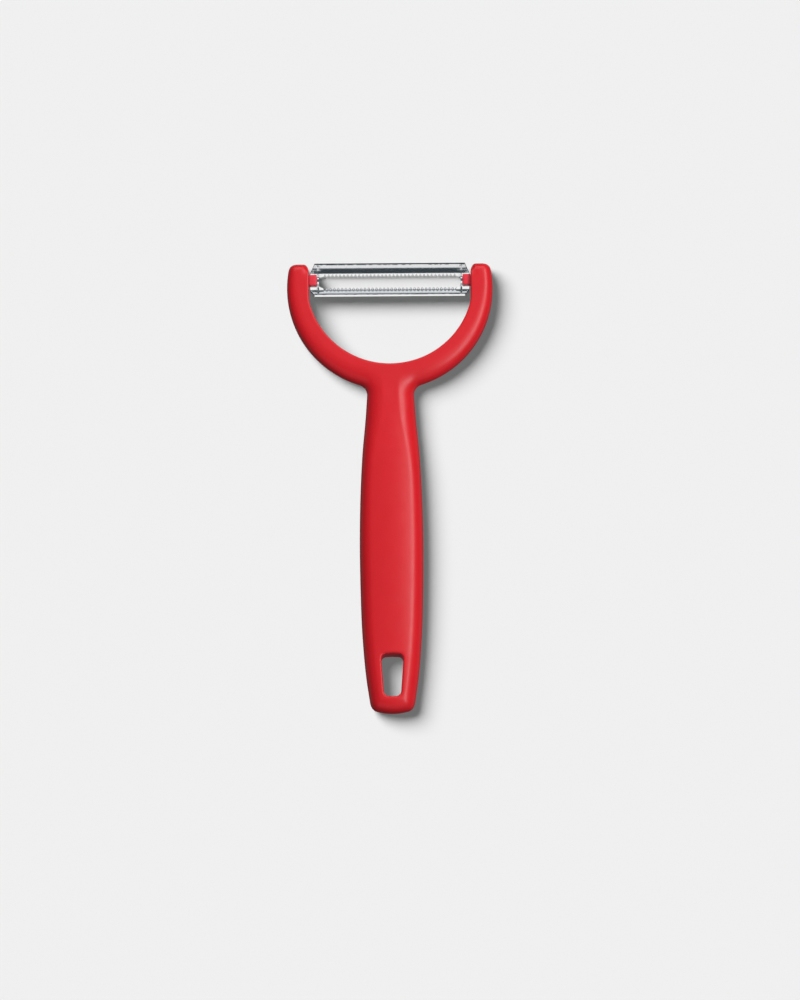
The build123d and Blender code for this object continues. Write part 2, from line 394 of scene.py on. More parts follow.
def handle_rows(paths):
    """Rows of plan points across the right half, from the fork's tip to the handle's end."""
    wall = paths["wall"][::-1]
    tip_in, tip_out = paths["tip_inner"], paths["tip_outer"]
    tip_side = stretch(tip_in, 0.0, 0.5)[::-1] + wall[1:]
    tip_rim = stretch(tip_out, 0.5, 1.0) + paths["outside"][1:]
    tip_edge = stretch(tip_in, 0.5, 1.0) + stretch(tip_out, 0.0, 0.5)
    end_side = stretch(paths["end_corner"], 0.0, 0.5)
    end_edge = (stretch(paths["end_corner"], 0.5, 1.0) + paths["end_edge"][1:])[::-1]
    throat = plan(0, paths["wall"][0].y)
    rim_in = throat - plan(0, INNER_EDGE)
    slot = paths["slot"]
    hang_top, hang_bottom = slot[0], slot[-1]
    end = paths["end_edge"][-1]
    side = paths["side"]
    lowest = side[-1].y
    highest = side[0].y

    def side_to(y):
        """The share of the side's run at which it passes a height."""
        return (highest - y) / (highest - lowest)

    neck_y = highest - NECK_ROW
    over_slot = hang_top + plan(0, HANG_EDGE)
    under_slot = hang_bottom - plan(0, HANG_EDGE)
    cut = [
        side_to(neck_y),
        side_to(over_slot.y + OVER_SLOT_ROW),
        side_to(hang_top.y + SLOT_TOP_ROW),
        side_to(hang_top.y - SLOT_UPPER_ROW),
        side_to(hang_bottom.y + SLOT_LOWER_ROW),
    ]
    side_a = stretch(side, 0.0, cut[0])
    side_b = stretch(side, cut[0], cut[1], 90)
    side_c = stretch(side, cut[1], cut[2])
    side_d = stretch(side, cut[2], cut[3])
    side_e = stretch(side, cut[3], cut[4])
    side_f = stretch(side, cut[4], 1.0)
    edge = [1 - cos(t * pi / 2) for t in EDGE_TURN_SHARES]
    crisp = [1 - cos(t * pi / 2) for t in CRISP_TURN_SHARES]
    arm_length = sum((b - a).length for a, b in zip(tip_side, tip_side[1:]))
    tip_shares = [e * TIP_EDGE * TIP_CROWDING_SHARE / arm_length for e in edge[:-1]]
    end_stretch = (end - under_slot).length
    end_shares = [1 - e * END_EDGE_REACH / end_stretch for e in edge][::-1]
    after_tip = tip_shares[-1] + TIP_EDGE / arm_length
    neck_side = stretch(paths["blend"], 0.25, 1.0) + side_a[1:]
    last_side = stretch(side_f, 0.75, 1.0) + end_side[1:]
    last_shares = even(0, end_shares[0], 3) + end_shares
    # Inner stretch, outer stretch, shares of the way along them, spread of the inner columns
    sections = (
        (tip_side, tip_rim, tip_shares + even(after_tip, 1.0, 46), (0.0, 0.0)),
        ([throat, rim_in], stretch(paths["blend"], 0.0, 0.25), crisp[:-1], (0.0, 0.0)),
        ([rim_in, plan(0, neck_y)], neck_side, even(0, 1, 12), (0.0, 1.0)),
        ([plan(0, neck_y), over_slot], side_b, even(0, 1, 44), (1.0, 1.0)),
        ([over_slot, hang_top], side_c, [1 - c for c in crisp][::-1][:-1], (1.0, 0.0)),
        (stretch(slot, 0.0, 0.30), side_d, even(0, 1, 8), (0.0, 0.0)),
        (stretch(slot, 0.30, 0.76), side_e, even(0, 1, 10), (0.0, 0.0)),
        (stretch(slot, 0.76, 1.0), stretch(side_f, 0.0, 0.5), even(0, 1, 7), (0.0, 0.0)),
        ([hang_bottom, under_slot], stretch(side_f, 0.5, 0.75), crisp[:-1], (0.0, 0.0)),
        ([under_slot, end], last_side, last_shares, (0.0, 0.6)),
    )
    rows = []
    for inner, outer, shares, spread in sections:
        for share in shares:
            mix = spread[0] + (spread[1] - spread[0]) * share
            rows.append((along(inner, share), along(outer, share), mix))
    first, last = rows[0], rows[-1]
    tip_line = [along(tip_edge, t / 40) - first[0].lerp(first[1], t / 40) for t in range(41)]
    end_line = [along(end_edge, t / 40) - last[0].lerp(last[1], t / 40) for t in range(41)]

    def bow(line, share):
        """How far the rounded end stands out from the straight row there."""
        at = min(share * 40, 39.999)
        return line[int(at)].lerp(line[int(at) + 1], at - int(at))

    edge_reaches = ((0.0, ARM_EDGE_REACH), (CROTCH_PLACE, CROTCH_EDGE_REACH), (GRIP_PLACE, GRIP_EDGE_REACH))
    grid = []
    for inner, outer, mix in rows:
        width = (outer - inner).length
        depth = min(smooth_value(edge_reaches, -outer.y), width * ROUNDED_SHARE)
        flat = width - depth
        middle = 5
        across = []
        for n, c in enumerate(crisp):
            across.append((1 - mix) * c * INNER_EDGE + mix * flat * n / (len(crisp) - 1 + middle))
        begin = across[-1]
        across += [begin + (flat - begin) * n / middle for n in range(1, middle)]
        across += [width - depth * e for e in edge[::-1]]
        tip_mix = max(0.0, 1 - (inner - first[0]).length / END_FADE)
        end_mix = max(0.0, 1 - (inner - last[0]).length / END_FADE)
        row = []
        for a in across:
            share = a / width
            point = inner.lerp(outer, share)
            point += bow(tip_line, share) * tip_mix + bow(end_line, share) * end_mix
            row.append(point)
        grid.append(row)
    return grid


def make_handle_mesh(s):
    """The fork, neck and grip as one closed mesh, measured from the swivel axis."""
    paths = handle_paths(s)
    bm = grid_of_rows(handle_rows(paths))
    for v in bm.verts:
        v.co.x = max(v.co.x, 0.0)
    mirrored(bm, "X", WELD)
    layer = bm.verts.layers.float.new("edge")
    back = list(bm.faces)
    raised = bmesh.ops.extrude_face_region(bm, geom=back)["geom"]
    front_verts = [g for g in raised if isinstance(g, bmesh.types.BMVert)]
    front_set = set(front_verts)
    back_verts = [v for v in bm.verts if v not in front_set]

    to_grip = (CROTCH_EDGE_REACH, GRIP_EDGE_REACH), (CROTCH_EDGE_DEPTH, GRIP_EDGE_DEPTH)
    to_end = (GRIP_EDGE_REACH, END_EDGE_REACH), (GRIP_EDGE_DEPTH, END_EDGE_DEPTH)
    soft = rim(
        (stretch(paths["tip_inner"], 0.5, 1.0), (TIP_EDGE,), (TIP_EDGE,)),
        (paths["tip_outer"], (TIP_EDGE, ARM_EDGE_REACH), (TIP_EDGE,)),
        (paths["outside"], (ARM_EDGE_REACH, CROTCH_EDGE_REACH), (TIP_EDGE, CROTCH_EDGE_DEPTH)),
        (paths["blend"], (CROTCH_EDGE_REACH,), (CROTCH_EDGE_DEPTH,)),
        (stretch(paths["side"], 0.0, 0.25), *to_grip),
        (stretch(paths["side"], 0.25, 1.0), *to_end),
        (paths["end_corner"], (END_EDGE_REACH,), (END_EDGE_DEPTH,)),
        (paths["end_edge"], (END_EDGE_REACH,), (END_EDGE_DEPTH,)),
    )
    crisp = rim(
        (paths["wall"], (INNER_EDGE,), (INNER_EDGE,)),
        (stretch(paths["tip_inner"], 0.0, 0.5), (INNER_EDGE,), (INNER_EDGE,)),
    )
    hang = rim((paths["slot"], (HANG_EDGE,), (HANG_EDGE,)))
    heights = (
        (0.0, s.fork_thickness),
        (RISE_START, s.fork_thickness),
        (RISE_NEXT, s.fork_thickness + RISE),
        (s.palm_distance, s.grip_thickness),
        (HANDLE_END, s.end_thickness),
    )
    for verts, share in ((front_verts, 1.0), (back_verts, BACK_SHARE)):
        points = np.array([(abs(v.co.x), v.co.y) for v in verts])
        corner = drop_to_rim(points, crisp, 1.0) + drop_to_rim(points, hang, 1.0)
        drop = drop_to_rim(points, soft, share) + corner
        for v, d, c, p in zip(verts, drop, corner, points):
            v[layer] = min(1.0, c / INNER_EDGE)
            if share < 1.0:
                v.co.z = d
                continue
            grip = smooth_value(((CROWN_START, 0.0), (CROWN_FULL, 1.0)), -p[1])
            crown = s.crown * grip * min(1.0, p[0] / s.palm_half_width) ** 2
            v.co.z = smooth_value(heights, -p[1]) - crown - d

    # The parting line of the mould, a faint ridge round every wall
    for height, ridge in ((-PARTING_WIDTH, 0.0), (PARTING_WIDTH, 0.0), (0.0, PARTING_RIDGE)):
        whole = bm.verts[:] + bm.edges[:] + bm.faces[:]
        level = (0, 0, PARTING_HEIGHT + height)
        cut = bmesh.ops.bisect_plane(bm, geom=whole, plane_co=level, plane_no=(0, 0, 1), dist=1e-7)
        bm.normal_update()
        for v in [g for g in cut["geom_cut"] if isinstance(g, bmesh.types.BMVert)]:
            v.co += v.normal * ridge
    return bm


class PEELER_OT_handle(bpy.types.Operator):
    """Make the one-piece handle with its fork and hanging slot"""

    bl_idname = "peeler.handle"
    bl_label = "Handle"

    def execute(self, context):
        s = context.scene.peeler_handle
        bm = make_handle_mesh(s)
        bmesh.ops.translate(bm, vec=(0, SWIVEL.y, 0), verts=bm.verts)
        material = moulded_plastic("handle red", s.colour, 0.33)
        piece = finish_piece("moulded_handle", bm, "handle", ["handle"], material)
        rounding = piece.modifiers.new("Rounding", "SUBSURF")
        rounding.levels = 1
        rounding.render_levels = 1
        return {"FINISHED"}


# Blade

# How far the blade's cut edges are rounded, and the ground bevel of its teeth
CUT_ROUNDING = 0.00003
GROUND_WIDTH = 0.0002
GROUND_LAND = 0.0003
EAR_SEGMENTS = 48
# Edges that turn by more than these stay sharp, or are rims to round
BLADE_SHARP = radians(28)
STUD_SHARP = radians(40)
RIM_TURN = radians(40)


class PeelerBlade(bpy.types.PropertyGroup):
    """Sizes and colour of the bent and slotted blade"""

    sheet: length("Sheet", "Thickness of the strip", 0.0006)
    web_reach: length("Web reach", "Half the width of the strip's level middle", 0.0015)
    knee_reach: length("Knee reach", "From the middle to where a wing begins", 0.00315)
    lip_angle: user_angle("Lip angle", "How far a toothed lip is bent up", 21.5)
    wing_angle: user_angle("Wing angle", "How far a wing is bent up", 59.9)
    wing_bow: user_angle("Wing bow", "How far a wing turns back over its width", 6)
    bend_radius: length("Bend radius", "Radius at the middle of the strip", 0.0012)
    end_slant: length("End slant", "How much shorter a wing is at its edge", 0.0016)
    end_web: length("End web", "From the slot to the end of the blade", 0.0031)
    slot_width: length("Slot width", "Between the points of the teeth", 0.00386)
    slot_corner: length("Slot corner", "Radius of the slot's corners", 0.0013)
    tooth_pitch: length("Tooth pitch", "From one tooth to the next", 0.0013)
    tooth_depth: length("Tooth depth", "Seen from above", 0.00094)
    tooth_flat: length("Tooth flat", "Width of a tooth's point", 0.00015)
    ear_hole: length("Ear hole", "Radius of the hole for a stud", 0.00116)
    colour: colour("Colour", "Stainless steel", (0.86, 0.865, 0.87))


class BladeShape:
    """Lengths of the blade's flat pattern, worked out from its sizes and its box"""

    def __init__(self, s):
        self.s = s
        first, second = s.lip_angle, s.wing_angle + s.wing_bow / 2 - s.lip_angle
        foot = s.bend_radius * tan(first / 2)
        knee = s.bend_radius * tan(second / 2)
        reach = BLADE_HIGH.y - SWIVEL.y - s.sheet / 2 * sin(s.wing_angle)
        lip = (s.knee_reach - s.web_reach) / cos(s.lip_angle)
        wing = (reach - s.knee_reach) / cos(s.wing_angle)
        # The length of each run on the flat pattern and how far it turns the strip
        self.runs = (
            (s.web_reach - foot, 0.0),
            (first * s.bend_radius, first),
            (lip - foot - knee, 0.0),
            (second * s.bend_radius, second),
            (wing - knee, -s.wing_bow),
        )
        self.half_length = BLADE_HIGH.x
        self.web_height = BLADE_LOW.z + s.sheet / 2
        self.wing_edge = sum(run for run, turn in self.runs)
        self.wing_start = self.wing_edge - self.runs[-1][0]
        self.climb = self.folded(self.wing_edge, 0)[1] - self.web_height
        self.slot_end = self.half_length - s.end_web
        self.tip = self.flat_place(s.slot_width / 2)
        self.root = self.flat_place(s.slot_width / 2 + s.tooth_depth)
        self.notch_half = (s.tooth_pitch - s.tooth_flat) / 2
        self.notches = int(2 * (self.slot_end - s.slot_corner) / s.tooth_pitch) // 2
        self.toothed = self.notches * s.tooth_pitch + self.notch_half

    def flat_place(self, y):
        """The place on the flat pattern of a point of the upper face, seen from above."""
        low, high = 0.0, self.wing_edge
        for n in range(40):
            middle = (low + high) / 2
            if self.folded(middle, self.s.sheet / 2)[0] < y:
                low = middle
            else:
                high = middle
        return low

    def folded(self, across, off):
        """Where a point of the flat pattern lies once the lips and wings are bent up."""
        y, z, angle, left = 0.0, self.web_height, 0.0, abs(across)
        for run, turn in self.runs:
            step = min(left, run)
            left -= step
            if turn:
                radius = run / turn
                after = angle + step / radius
                y += radius * (sin(after) - sin(angle))
                z += radius * (cos(angle) - cos(after))
                angle = after
            else:
                y += step * cos(angle)
                z += step * sin(angle)
        y -= off * sin(angle)
        z += off * cos(angle)
        return (y if across > 0 else -y), z

    def end_at(self, across):
        """Half the strip's length at a place of the flat pattern."""
        height = self.folded(abs(across), 0)[1] - self.web_height
        return self.half_length - self.s.end_slant * height / self.climb

    def slot_edge(self):
        """Points of a quarter of the slot's edge, from its middle to its end."""
        points = []
        for n in range(self.notches + 1):
            centre = n * self.s.tooth_pitch
            if n:
                points.append(plan(centre - self.notch_half, self.tip))
            points.append(plan(centre, self.root))
            points.append(plan(centre + self.notch_half, self.tip))
        corner = plan(self.slot_end - self.s.slot_corner, self.tip - self.s.slot_corner)
        points += arc(corner, self.s.slot_corner, 90, 0, 8)
        points.append(plan(self.slot_end, 0))
        return points


def rounding(distance, radius):
    """How far a cut edge's rounding takes off the sheet at a distance from the edge."""
    left = min(max(radius - distance, 0), radius)
    return radius - sqrt(radius**2 - left**2)


def blade_rows(shape):
    """Rows of plan points over a quarter of the flat pattern."""
    edge = shape.slot_edge()
    fan_start = len(edge) - 10
    fan_from = edge[fan_start].x
    rows = [(p, p.x) for p in edge[:fan_start]]
    fan_to = shape.slot_end + shape.s.sheet
    for n, p in enumerate(edge[fan_start:]):
        rows.append((p, fan_from + (fan_to - fan_from) * n / 9))
    r = CUT_ROUNDING
    stop = shape.half_length
    for share in (0.25, 0.5, 0.75):
        place = plan(shape.slot_end + (stop - shape.slot_end) * share, 0)
        rows.append((place, fan_to + (stop - fan_to) * share))
    for back in (r, r * 0.3, 0):
        rows.append((plan(stop - back, 0), stop - back))
    start = shape.root + GROUND_WIDTH
    bend_end = max(start, shape.wing_start)
    bend = [start + (bend_end - start) * n / 4 for n in range(1, 4)]
    wing = [bend_end + (shape.wing_edge - r - bend_end) * n / 9 for n in range(10)]
    outer = bend + wing + [shape.wing_edge - r * 0.3, shape.wing_edge]
    grid = []
    for p, x_edge in rows:
        near = p.y + GROUND_WIDTH
        places = [p.y] + [near + (start - near) * n / 14 for n in range(15)] + outer
        row = []
        for u in places:
            share = (u - p.y) / (shape.wing_edge - p.y)
            x = p.x + (x_edge - p.x) * share
            slanted = max(x - fan_from, 0) / (shape.half_length - fan_from)
            row.append(plan(x - slanted * (shape.half_length - shape.end_at(u)), u))
        grid.append(row)
    return grid


def make_blade_mesh(s):
    """The bent strip with its toothed slot, measured in the part's own frame."""
    shape = BladeShape(s)
    bm = grid_of_rows(blade_rows(shape))
    mirrored(bm, "X", WELD)
    mirrored(bm, "Y", WELD)
    layer = bm.verts.layers.float.new("edge")
    raised = bmesh.ops.extrude_face_region(bm, geom=list(bm.faces))["geom"]
    upper = {g for g in raised if isinstance(g, bmesh.types.BMVert)}
    edge = shape.slot_edge()
    edge_x = [p.x for p in edge]
    edge_u = [p.y for p in edge]
    for v in bm.verts:
        x, u = abs(v.co.x), abs(v.co.y)
        cut = rounding(shape.wing_edge - u, CUT_ROUNDING)
        cut = max(cut, rounding(shape.end_at(u) - x, CUT_ROUNDING))
        ground = 0.0
        if x < shape.toothed + WELD:
            ground = max(0.0, 1 - (u - float(np.interp(x, edge_x, edge_u))) / GROUND_WIDTH)
        off = s.sheet / 2 - cut
        if v not in upper:
            off = ground * (s.sheet - GROUND_LAND) - off
        y, z = shape.folded(v.co.y, off)
        v[layer] = max(ground, cut / CUT_ROUNDING)
        v.co = Vector((v.co.x, SWIVEL.y + y, z))
    return bm, shape


def add_ear(bm, shape, half_width, side):
    """An ear bent up from the slot's end, with a round hole for the stud."""
    s = shape.s
    ring = bmesh.ops.create_circle(bm, segments=EAR_SEGMENTS, radius=half_width)["verts"]
    drop = SWIVEL.z - shape.web_height
    for v in ring:
        if v.co.y < -WELD:
            angle = atan2(v.co.y, v.co.x)
            reach = min(half_width / max(abs(cos(angle)), WELD), drop / abs(sin(angle)))
            v.co = Vector((cos(angle), sin(angle), 0)) * reach
    hole = bmesh.ops.create_circle(bm, segments=EAR_SEGMENTS, radius=s.ear_hole)["verts"]
    loops = {e for v in ring + hole for e in v.link_edges}
    plate = bmesh.ops.bridge_loops(bm, edges=list(loops))["faces"]
    raised = bmesh.ops.extrude_face_region(bm, geom=plate)["geom"]
    far = [g for g in raised if isinstance(g, bmesh.types.BMVert)]
    bmesh.ops.translate(bm, vec=(0, 0, s.sheet), verts=far)
    verts = ring + hole + far
    rims = {e for v in verts for e in v.link_edges if abs(e.verts[0].co.z - e.verts[1].co.z) < WELD}
    rims = [e for e in rims if e.calc_face_angle(0) > RIM_TURN]
    upright = Matrix.Rotation(radians(90), 4, "X")
    turn = Matrix.Rotation(radians(90), 4, "Z") @ upright
    place = Matrix.Translation((shape.slot_end, SWIVEL.y, SWIVEL.z)) @ turn
    bmesh.ops.transform(bm, matrix=place, verts=verts)
    if side < 0:
        bmesh.ops.scale(bm, vec=(-1, 1, 1), verts=verts)
    bevel_edges(bm, rims, CUT_ROUNDING, 2)


class PEELER_OT_blade(bpy.types.Operator):
    """Make the bent blade with its toothed slot and its two ears"""

    bl_idname = "peeler.blade"
    bl_label = "Blade"

    def execute(self, context):
        s = context.scene.peeler_blade
        bm, shape = make_blade_mesh(s)
        for side in (-1, 1):
            add_ear(bm, shape, context.scene.peeler_studs.width / 2, side)
        material = brushed_steel("blade steel", s.colour)
        finish_piece("toothed_blade", bm, "blade", ["blade"], material, BLADE_SHARP)
        return {"FINISHED"}


# Pivot studs


class PeelerStuds(bpy.types.PropertyGroup):
    """Sizes and colour of the two pivot studs"""

    width: length("Width", "Of the square head, seen from above", 0.00365)
    depth: length("Depth", "Of the square head, seen from the front", 0.0042)
    edge: length("Edge", "Bevel of the head", 0.0003)
    trunnion_radius: length("Trunnion radius", "Round pin that carries the blade", 0.0011)
    tenon_width: length("Tenon width", "Part inside the arm, seen from above", 0.0022)
    tenon_depth: length("Tenon depth", "Part inside the arm, seen from the front", 0.0032)
    ear_play: length("Ear play", "From the blade's ear to the head", 0.00012)
    colour: colour("Colour", "Brighter red of the studs", (0.70, 0.030, 0.052))


def make_stud_mesh(s, half_gap, head_face):
    """The right stud: square head, tenon into the arm and trunnion for the ear."""
    bm = bmesh.new()
    layer = bm.verts.layers.float.new("edge")
    head = bmesh.ops.create_cube(bm, size=1.0)["verts"]
    middle = (head_face + half_gap) / 2
    bmesh.ops.scale(bm, vec=(half_gap - head_face, s.width, s.depth), verts=head)
    bmesh.ops.translate(bm, vec=(middle, 0, 0), verts=head)
    bevel_edges(bm, list(bm.edges), s.edge, 3)
    for v in bm.verts:
        off_face = min(abs(abs(v.co.y) - s.width / 2), abs(abs(v.co.z) - s.depth / 2))
        off_face = min(off_face, abs(v.co.x - head_face), abs(v.co.x - half_gap))
        v[layer] = 1.0 if off_face > s.edge / 20 else 0.0
    seat = max(bm.faces, key=lambda f: (round(f.calc_center_median().x, 6), f.calc_area()))
    tenon = bmesh.ops.extrude_discrete_faces(bm, faces=[seat])["faces"][0]
    foot = list(tenon.verts)
    for v in foot:
        v.co.y = s.tenon_width / 2 * (1 if v.co.y > 0 else -1)
        v.co.z = s.tenon_depth / 2 * (1 if v.co.z > 0 else -1)
    tip = bmesh.ops.extrude_face_region(bm, geom=[tenon])["geom"]
    tip_verts = [g for g in tip if isinstance(g, bmesh.types.BMVert)]
    bmesh.ops.translate(bm, vec=(STUD_HIGH.x - half_gap, 0, 0), verts=tip_verts)
    length_in = head_face - STUD_LOW.x
    pin = bmesh.ops.create_cone(
        bm,
        cap_ends=True,
        segments=40,
        radius1=s.trunnion_radius,
        radius2=s.trunnion_radius,
        depth=length_in + s.edge * 2,
    )["verts"]
    bmesh.ops.rotate(bm, cent=(0, 0, 0), matrix=Matrix.Rotation(radians(90), 3, "Y"), verts=pin)
    bmesh.ops.translate(bm, vec=(STUD_LOW.x + length_in / 2 + s.edge, 0, 0), verts=pin)
    nose = {e for v in pin for e in v.link_edges}
    nose = [e for e in nose if max(v.co.x for v in e.verts) < STUD_LOW.x + WELD]
    bevel_edges(bm, nose, s.edge / 2, 3)
    return bm


class PEELER_OT_studs(bpy.types.Operator):
    """Make the two pivot studs that carry the blade"""

    bl_idname = "peeler.studs"
    bl_label = "Pivot studs"

    def execute(self, context):
        s = context.scene.peeler_studs
        blade = context.scene.peeler_blade
        half_gap = context.scene.peeler_handle.half_gap
        head_face = BLADE_HIGH.x - blade.end_web + blade.sheet + s.ear_play
        material = moulded_plastic("stud red", s.colour, 0.34)
        for side, name in ((-1, "left"), (1, "right")):
            bm = make_stud_mesh(s, half_gap, head_face)
            bmesh.ops.translate(bm, vec=(0, SWIVEL.y, SWIVEL.z), verts=bm.verts)
            bmesh.ops.scale(bm, vec=(side, 1, 1), verts=bm.verts)
            node = name + "_pivot_stud"
            finish_piece(name + "_stud", bm, "handle", [node], material, STUD_SHARP)
        return {"FINISHED"}


# Materials


def add_node(tree, kind, values=(), **settings):
    """A new node with some of its settings and unlinked sockets filled in."""
    node = tree.nodes.new(kind)
    for setting, value in settings.items():
        setattr(node, setting, value)
    for socket, value in values:
        node.inputs[socket].default_value = value
    return node


def new_group(name, inputs, output):
    """A node group with named input sockets and one output, and its two end nodes."""
    group = bpy.data.node_groups.new(name, "ShaderNodeTree")
    for label, kind in inputs:
        group.interface.new_socket(name=label, in_out="INPUT", socket_type=kind)
    group.interface.new_socket(name=output, in_out="OUTPUT", socket_type="NodeSocketFloat")
    return group, group.nodes.new("NodeGroupInput"), group.nodes.new("NodeGroupOutput")


def cloudy_group():
    """Soft patches between a low and a high value, for roughness and tone."""
    group = bpy.data.node_groups.get("soft patches")
    if group:
        return group
    inputs = (("Vector", "NodeSocketVector"), ("Scale", "NodeSocketFloat"))
    inputs += (("Low", "NodeSocketFloat"), ("High", "NodeSocketFloat"))
    group, start, end = new_group("soft patches", inputs, "Value")
    noise = add_node(group, "ShaderNodeTexNoise", (("Detail", 4.0), ("Roughness", 0.55)))
    spread = add_node(group, "ShaderNodeMapRange", (("From Min", 0.3), ("From Max", 0.7)))
    group.links.new(start.outputs["Vector"], noise.inputs["Vector"])
    group.links.new(start.outputs["Scale"], noise.inputs["Scale"])
    group.links.new(noise.outputs["Fac"], spread.inputs["Value"])
    group.links.new(start.outputs["Low"], spread.inputs["To Min"])
    group.links.new(start.outputs["High"], spread.inputs["To Max"])
    group.links.new(spread.outputs["Result"], end.inputs["Value"])
    return group


def grain_group():
    """Fine grain with a little waviness below it, as a height."""
    group = bpy.data.node_groups.get("surface grain")
    if group:
        return group
    inputs = (("Vector", "NodeSocketVector"), ("Fine", "NodeSocketFloat"), ("Wavy", "NodeSocketFloat"))
    group, start, end = new_group("surface grain", inputs, "Height")
    fine = add_node(group, "ShaderNodeTexNoise", (("Detail", 2.0), ("Roughness", 0.5)))
    wavy = add_node(group, "ShaderNodeTexNoise", (("Detail", 1.0), ("Roughness", 0.4)))
    both = add_node(group, "ShaderNodeMath", ((1, 4.0),), operation="MULTIPLY_ADD")
    group.links.new(start.outputs["Vector"], fine.inputs["Vector"])
    group.links.new(start.outputs["Fine"], fine.inputs["Scale"])
    group.links.new(start.outputs["Vector"], wavy.inputs["Vector"])
    group.links.new(start.outputs["Wavy"], wavy.inputs["Scale"])
    group.links.new(wavy.outputs["Fac"], both.inputs[0])
    group.links.new(fine.outputs["Fac"], both.inputs[2])
    group.links.new(both.outputs["Value"], end.inputs["Height"])
    return group


def edge_wear_and_sheen_group():
    """A mask for edges made lighter, as wear and, on the plastics, as painted sheen: the piece's own edge
    attribute, broken up by patches.
    """
    group = bpy.data.node_groups.get("edge wear and sheen")
    if group:
        return group
    inputs = (("Vector", "NodeSocketVector"), ("Edge", "NodeSocketFloat"), ("Scale", "NodeSocketFloat"))
    group, start, end = new_group("edge wear and sheen", inputs, "Mask")
    noise = add_node(group, "ShaderNodeTexNoise", (("Detail", 3.0),))
    broken = add_node(group, "ShaderNodeMapRange", (("From Min", 0.35), ("From Max", 0.6)))
    mask = add_node(group, "ShaderNodeMath", operation="MULTIPLY")
    group.links.new(start.outputs["Vector"], noise.inputs["Vector"])
    group.links.new(start.outputs["Scale"], noise.inputs["Scale"])
    group.links.new(noise.outputs["Fac"], broken.inputs["Value"])
    group.links.new(broken.outputs["Result"], mask.inputs[0])
    group.links.new(start.outputs["Edge"], mask.inputs[1])
    group.links.new(mask.outputs["Value"], end.inputs["Mask"])
    return group


def new_material(name):
    """A material with its tree, its shader and the object's coordinates."""
    material = bpy.data.materials.new(name)
    material.use_nodes = True
    tree = material.node_tree
    place = tree.nodes.new("ShaderNodeTexCoord").outputs["Object"]
    return material, tree, tree.nodes["Principled BSDF"], place


def group_node(tree, group, place, **values):
    """A node of a shared group, fed with coordinates and its own values."""
    node = add_node(tree, "ShaderNodeGroup", node_tree=group)
    tree.links.new(place, node.inputs["Vector"])
    for socket, value in values.items():
        node.inputs[socket].default_value = value
    return node


def two_tones(tree, mask, first, second):
    """A colour between two tones, each a colour or a socket, chosen by a mask."""
    mix = add_node(tree, "ShaderNodeMix", data_type="RGBA")
    tree.links.new(mask, mix.inputs["Factor"])
    for socket, tone in ((mix.inputs[6], first), (mix.inputs[7], second)):
        if isinstance(tone, bpy.types.NodeSocket):
            tree.links.new(tone, socket)
        else:
            socket.default_value = (*tone, 1)
    return mix.outputs[2]


def moulded_plastic(name, colour, roughness):
    """Satin moulded plastic: fine grain, faint flow patches, and rounded edges painted lighter as sheen and
    wear.
    """
    material, tree, shader, place = new_material(name)
    colour = Vector(colour)
    patches = group_node(tree, cloudy_group(), place, Scale=55.0, Low=0.0, High=1.0)
    tone = two_tones(tree, patches.outputs["Value"], colour * 0.97, colour * 1.03)
    edge = add_node(tree, "ShaderNodeAttribute", attribute_name="edge")
    wear_and_sheen = group_node(tree, edge_wear_and_sheen_group(), place, Scale=700.0)
    tree.links.new(edge.outputs["Fac"], wear_and_sheen.inputs["Edge"])
    # Painted sheen with wear: the rounded rims and the stud bevels are painted lighter than the rest
    tone = two_tones(tree, wear_and_sheen.outputs["Mask"], tone, colour * 1.06)
    tree.links.new(tone, shader.inputs["Base Color"])
    low, high = roughness - 0.03, roughness + 0.03
    sheen = group_node(tree, cloudy_group(), place, Scale=240.0, Low=low, High=high)
    tree.links.new(sheen.outputs["Value"], shader.inputs["Roughness"])
    shader.inputs["Specular IOR Level"].default_value = 0.28
    grain = group_node(tree, grain_group(), place, Fine=3200.0, Wavy=260.0)
    bump = add_node(tree, "ShaderNodeBump", (("Strength", 0.35), ("Distance", 0.00002)))
    tree.links.new(grain.outputs["Height"], bump.inputs["Height"])
    tree.links.new(bump.outputs["Normal"], shader.inputs["Normal"])
    return material


def brushed_steel(name, colour):
    """Stainless strip, finely brushed across its length and brighter where it is ground."""
    material, tree, shader, place = new_material(name)
    colour = Vector(colour)
    shader.inputs["Metallic"].default_value = 1.0
    brushed = add_node(tree, "ShaderNodeMapping", (("Scale", (1.0, 0.02, 0.02)),))
    tree.links.new(place, brushed.inputs["Vector"])
    lines = group_node(tree, cloudy_group(), brushed.outputs["Vector"], Scale=2600.0, Low=0.0, High=1.0)
    edge = add_node(tree, "ShaderNodeAttribute", attribute_name="edge")
    wear_and_sheen = group_node(tree, edge_wear_and_sheen_group(), place, Scale=900.0)
    tree.links.new(edge.outputs["Fac"], wear_and_sheen.inputs["Edge"])
    tone = two_tones(tree, lines.outputs["Value"], colour * 0.98, colour * 1.01)
    tone = two_tones(tree, wear_and_sheen.outputs["Mask"], tone, colour * 1.04)
    tree.links.new(tone, shader.inputs["Base Color"])
    rough = group_node(tree, cloudy_group(), brushed.outputs["Vector"], Scale=3000.0, Low=0.08, High=0.10)
    tree.links.new(rough.outputs["Value"], shader.inputs["Roughness"])
    grain = group_node(tree, grain_group(), brushed.outputs["Vector"], Fine=9000.0, Wavy=2500.0)
    bump = add_node(tree, "ShaderNodeBump", (("Strength", 1.0), ("Distance", 0.00001)))
    tree.links.new(grain.outputs["Height"], bump.inputs["Height"])
    tree.links.new(bump.outputs["Normal"], shader.inputs["Normal"])
    return material


# Stage


CAMERA_DISTANCE = 5.0
CAMERA_AIM = Vector((0.00297, -0.07589, 0.0041))
CAMERA_ROLL = radians(-0.4)
FLOOR_SIZE = 4.0
LAMP_DISTANCE = 1.2
PALE = (0.863, 0.863, 0.863)

# Brightness of the studio's diffuse light, by the height of its direction
SKY_HEIGHTS = ((-1.0, 0.35), (-0.15, 0.30), (0.0, 0.03), (0.40, 0.18), (1.0, 0.18))
